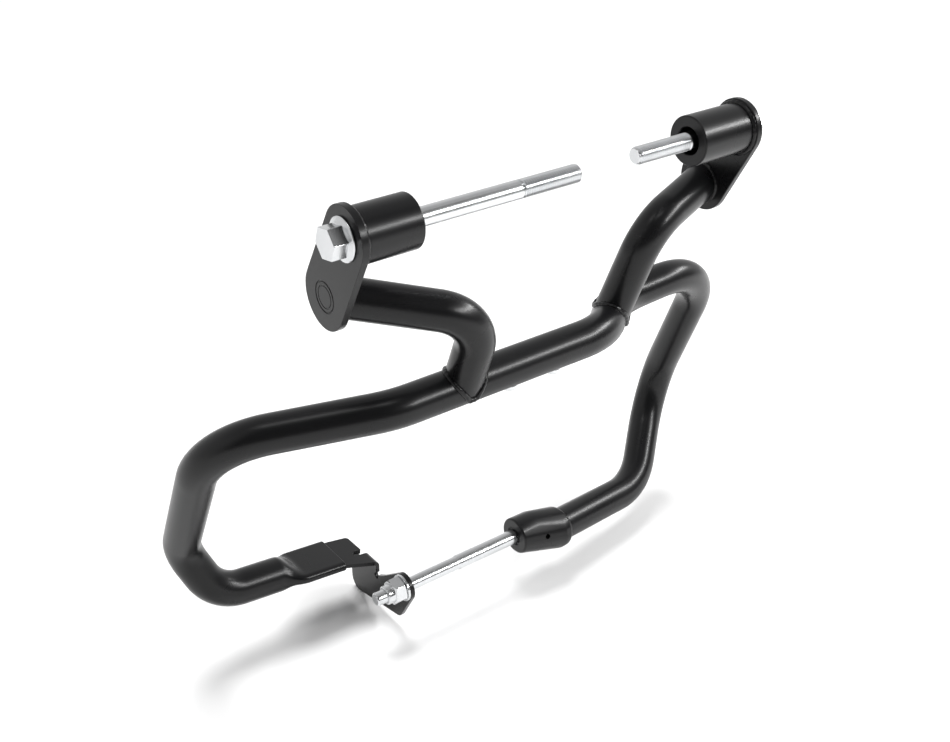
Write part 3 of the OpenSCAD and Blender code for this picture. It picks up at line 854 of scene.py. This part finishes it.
def make_floor():
    bpy.ops.object.select_all(action="DESELECT")
    low, high = cad_box
    bpy.ops.mesh.primitive_plane_add(size=12, location=(0, 0, low.z - floor_gap))
    floor = primitive("paper_floor")
    floor.data.materials.append(white_paper())


def make_world():
    """A studio dome: a bright wall behind the part, dark overhead and in front, white to the camera."""
    world = bpy.data.worlds.new("studio")
    bpy.context.scene.world = world
    world.use_nodes = True
    tree = world.node_tree
    tree.nodes.clear()
    direction = add_node(tree, "ShaderNodeTexCoord").outputs["Generated"]
    height = add_node(tree, "ShaderNodeSeparateXYZ", {}, {0: direction})
    wall = add_node(tree, "ShaderNodeMapRange", {"From Min": 0.5, "From Max": 0.9, "To Min": 0.8,
                                                 "To Max": 0.4}, {"Value": height.outputs["Z"]})
    rear = add_node(tree, "ShaderNodeMapRange", {"From Min": -0.38, "From Max": -0.05, "To Min": 0.12,
                                                 "To Max": 1}, {"Value": height.outputs["Y"]})
    dome = add_node(tree, "ShaderNodeMath", {"operation": "MULTIPLY"},
                    {0: wall.outputs["Result"], 1: rear.outputs["Result"]})
    path = add_node(tree, "ShaderNodeLightPath")
    strength = add_node(tree, "ShaderNodeMix", {"data_type": "FLOAT", 3: 1.0},
                        {0: path.outputs["Is Camera Ray"], 2: dome.outputs[0]})
    light = add_node(tree, "ShaderNodeBackground", {"Color": linear("#ffffff")},
                     {"Strength": strength.outputs[0]})
    add_node(tree, "ShaderNodeOutputWorld", {}, {"Surface": light.outputs[0]})


def make_softbox(name, place, aim, width, height, power):
    lamp = bpy.data.lights.new(name, "AREA")
    lamp.shape = "RECTANGLE"
    lamp.size = width
    lamp.size_y = height
    lamp.energy = power
    box = bpy.data.objects.new(name, lamp)
    bpy.context.scene.collection.objects.link(box)
    box.location = place
    box.rotation_euler = (aim - place).to_track_quat("-Z", "Y").to_euler()


def make_lights():
    """A broad sun that only throws the soft shadows, and softboxes that draw the highlights."""
    lamp = bpy.data.lights.new("overhead", "SUN")
    lamp.energy = sun_strength
    lamp.angle = sun_breadth
    sun = bpy.data.objects.new("overhead", lamp)
    bpy.context.scene.collection.objects.link(sun)
    sun.rotation_euler = sun_tilt
    sun.visible_glossy = False
    middle = (cad_box[0] + cad_box[1]) / 2
    for name, (place, width, height, power) in softboxes.items():
        make_softbox(name, place, middle, width, height, power)


def make_camera():
    lens = bpy.data.cameras.new("photo_view")
    lens.lens = camera_lens
    lens.sensor_width = 36
    lens.clip_start = 0.01
    camera = bpy.data.objects.new("photo_view", lens)
    bpy.context.scene.collection.objects.link(camera)
    camera.location = camera_place
    camera.rotation_euler = camera_turn
    bpy.context.scene.camera = camera


finishes = {"powder_coat": satin_black_powder_coat(), "zinc_plate": bright_zinc_plate()}
left_plate_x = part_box("left_plate")[1].x
right_plate_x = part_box("right_plate")[0].x
centre_run = (centre_l, centre_r)
step_run = (centre_r - (right_step - centre_r) * 0.2, right_step)

make_camera()
make_hoop()
for side, foot, knee, plate_x, run in (
    (-1, left_foot, left_knee, left_plate_x, centre_run),
    (1, right_foot, right_knee, right_plate_x, step_run),
):
    make_upright(side, foot, knee, plate_x, run)
    make_saddle_bead(side, foot, knee, run)
    make_plate(side)
    make_plate_bead(side, knee, plate_x)
    make_spacer(side)
    make_spacer_bead(side, plate_x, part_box("left_spacer")[1].z)
    make_engine_bolt(side)
    make_pan_screw(side)
make_tie_rod()
make_lock_nut()
make_washer()
make_bracket()
make_boss()
make_boss_bead()
make_floor()
make_world()
make_lights()
bpy.context.scene.view_settings.view_transform = "Standard"
